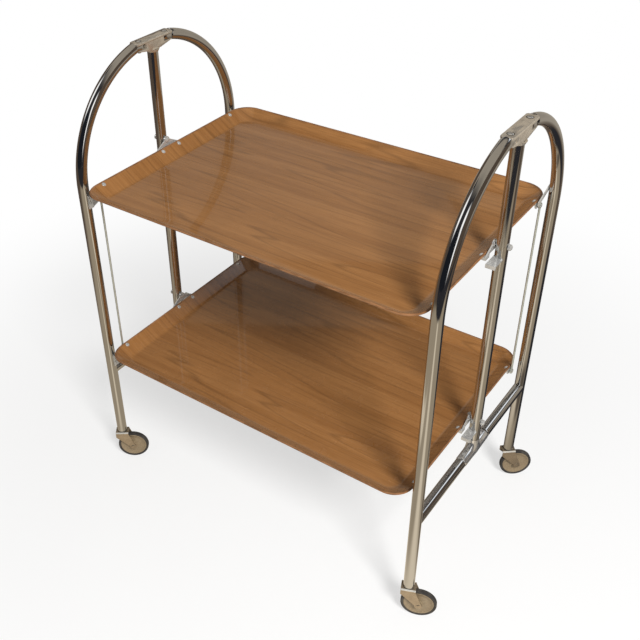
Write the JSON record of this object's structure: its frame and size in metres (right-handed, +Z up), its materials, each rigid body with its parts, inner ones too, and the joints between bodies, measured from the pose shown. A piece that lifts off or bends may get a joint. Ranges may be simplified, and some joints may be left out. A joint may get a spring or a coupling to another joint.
{
  "type": "folding tea trolley",
  "caption": "Tubular chrome tea trolley on swivel castors: wood-grain trays with sloping rims tilt together between arched end frames.",
  "frame": {"origin": "on the floor, under the middle of the trolley", "axes": "+X along the trays to the right-hand end, +Y across the trays to the far side, +Z up"},
  "size_m": [0.7143, 0.4293, 0.7785],
  "materials": {
    "chrome_tube": "polished chrome plate",
    "hinge_casting": "plated casting, satin",
    "plated_sheet": "plated sheet",
    "fastener": "plated",
    "rod_wire": "plated wire",
    "socket": "moulded",
    "tray_laminate": "glossy wood-grain laminate",
    "castor_metal": "plated",
    "castor_disc": "tan enamel",
    "castor_tyre": "grey-black rubber"
  },
  "bodies": {
    "frame": {"left_post": "chrome_tube", "left_top_bridge": "hinge_casting", "left_bottom_yoke": "hinge_casting", "left_near_leg_tube": "chrome_tube", "left_near_cross_tube": "chrome_tube", "left_far_leg_tube": "chrome_tube", "left_far_cross_tube": "chrome_tube", "right_post": "chrome_tube", "right_top_bridge": "hinge_casting", "right_bottom_yoke": "hinge_casting", "right_near_leg_tube": "chrome_tube", "right_near_cross_tube": "chrome_tube", "right_far_leg_tube": "chrome_tube", "right_far_cross_tube": "chrome_tube", "top_hinge_pins": "fastener", "bottom_hinge_pins": "fastener", "tray_pivot_bolts": "fastener", "tray_pivot_nuts": "fastener", "tray_pivot_washers": "fastener", "leg_sockets": "socket", "tray_rests": "plated_sheet", "corner_keeper": "plated_sheet", "post_catches": "plated_sheet"},
    "upper_tray": {"upper_tray": "tray_laminate", "upper_left_pivot_bracket": "plated_sheet", "upper_right_pivot_bracket": "plated_sheet", "upper_corner_tabs": "plated_sheet", "upper_tray_rivets": "fastener"},
    "lower_tray": {"lower_tray": "tray_laminate", "lower_left_pivot_bracket": "plated_sheet", "lower_right_pivot_bracket": "plated_sheet", "lower_corner_tabs": "plated_sheet", "lower_tray_rivets": "fastener"},
    "left_rod": {"left_link_rod": "rod_wire"},
    "right_rod": {"right_link_rod": "rod_wire"},
    "left_near_castor": {"left_near_castor_fork": "castor_metal", "left_near_castor_stem": "castor_metal", "left_near_castor_axle": "castor_metal"},
    "left_near_wheel": {"left_near_castor_wheel": "castor_disc", "left_near_castor_tyre": "castor_tyre"},
    "left_far_castor": {"left_far_castor_fork": "castor_metal", "left_far_castor_stem": "castor_metal", "left_far_castor_axle": "castor_metal"},
    "left_far_wheel": {"left_far_castor_wheel": "castor_disc", "left_far_castor_tyre": "castor_tyre"},
    "right_near_castor": {"right_near_castor_fork": "castor_metal", "right_near_castor_stem": "castor_metal", "right_near_castor_axle": "castor_metal"},
    "right_near_wheel": {"right_near_castor_wheel": "castor_disc", "right_near_castor_tyre": "castor_tyre"},
    "right_far_castor": {"right_far_castor_fork": "castor_metal", "right_far_castor_stem": "castor_metal", "right_far_castor_axle": "castor_metal"},
    "right_far_wheel": {"right_far_castor_wheel": "castor_disc", "right_far_castor_tyre": "castor_tyre"}
  },
  "joints": [
    {"name": "upper_tray_tilt", "type": "hinge", "parent": "frame", "child": "upper_tray", "pos_m": [0, 0, 0.601], "axis": [-1, 0, 0], "range_deg": [0, 78]},
    {"name": "lower_tray_tilt", "type": "hinge", "parent": "frame", "child": "lower_tray", "pos_m": [0, 0, 0.278], "axis": [-1, 0, 0], "range_deg": [0, 78]},
    {"name": "left_rod_swing", "type": "hinge", "parent": "upper_tray", "child": "left_rod", "pos_m": [-0.30075, -0.165, 0.5835], "axis": [-1, 0, 0], "range_deg": [-78, 0]},
    {"name": "right_rod_swing", "type": "hinge", "parent": "upper_tray", "child": "right_rod", "pos_m": [0.30075, 0.165, 0.5835], "axis": [-1, 0, 0], "range_deg": [-78, 0]},
    {"name": "left_near_castor_swivel", "type": "hinge", "parent": "frame", "child": "left_near_castor", "pos_m": [-0.3125, -0.1875, 0.066], "axis": [0, 0, 1], "continuous": true},
    {"name": "left_near_wheel_spin", "type": "hinge", "parent": "left_near_castor", "child": "left_near_wheel", "pos_m": [-0.29812, -0.17667, 0.029], "axis": [-0.6018, 0.7986, 0], "continuous": true},
    {"name": "left_far_castor_swivel", "type": "hinge", "parent": "frame", "child": "left_far_castor", "pos_m": [-0.3125, 0.1875, 0.066], "axis": [0, 0, 1], "continuous": true},
    {"name": "left_far_wheel_spin", "type": "hinge", "parent": "left_far_castor", "child": "left_far_wheel", "pos_m": [-0.3293, 0.18105, 0.029], "axis": [0.3584, -0.9336, 0], "continuous": true},
    {"name": "right_near_castor_swivel", "type": "hinge", "parent": "frame", "child": "right_near_castor", "pos_m": [0.3125, -0.1875, 0.066], "axis": [0, 0, 1], "continuous": true},
    {"name": "right_near_wheel_spin", "type": "hinge", "parent": "right_near_castor", "child": "right_near_wheel", "pos_m": [0.32907, -0.18047, 0.029], "axis": [-0.3907, 0.9205, 0], "continuous": true},
    {"name": "right_far_castor_swivel", "type": "hinge", "parent": "frame", "child": "right_far_castor", "pos_m": [0.3125, 0.1875, 0.066], "axis": [0, 0, 1], "continuous": true},
    {"name": "right_far_wheel_spin", "type": "hinge", "parent": "right_far_castor", "child": "right_far_wheel", "pos_m": [0.32629, 0.19907, 0.029], "axis": [-0.6428, 0.766, 0], "continuous": true}
  ],
  "couplings": [
    {"joint": "lower_tray_tilt", "follows": "upper_tray_tilt", "ratio": 1},
    {"joint": "left_rod_swing", "follows": "upper_tray_tilt", "ratio": -1},
    {"joint": "right_rod_swing", "follows": "upper_tray_tilt", "ratio": -1}
  ]
}
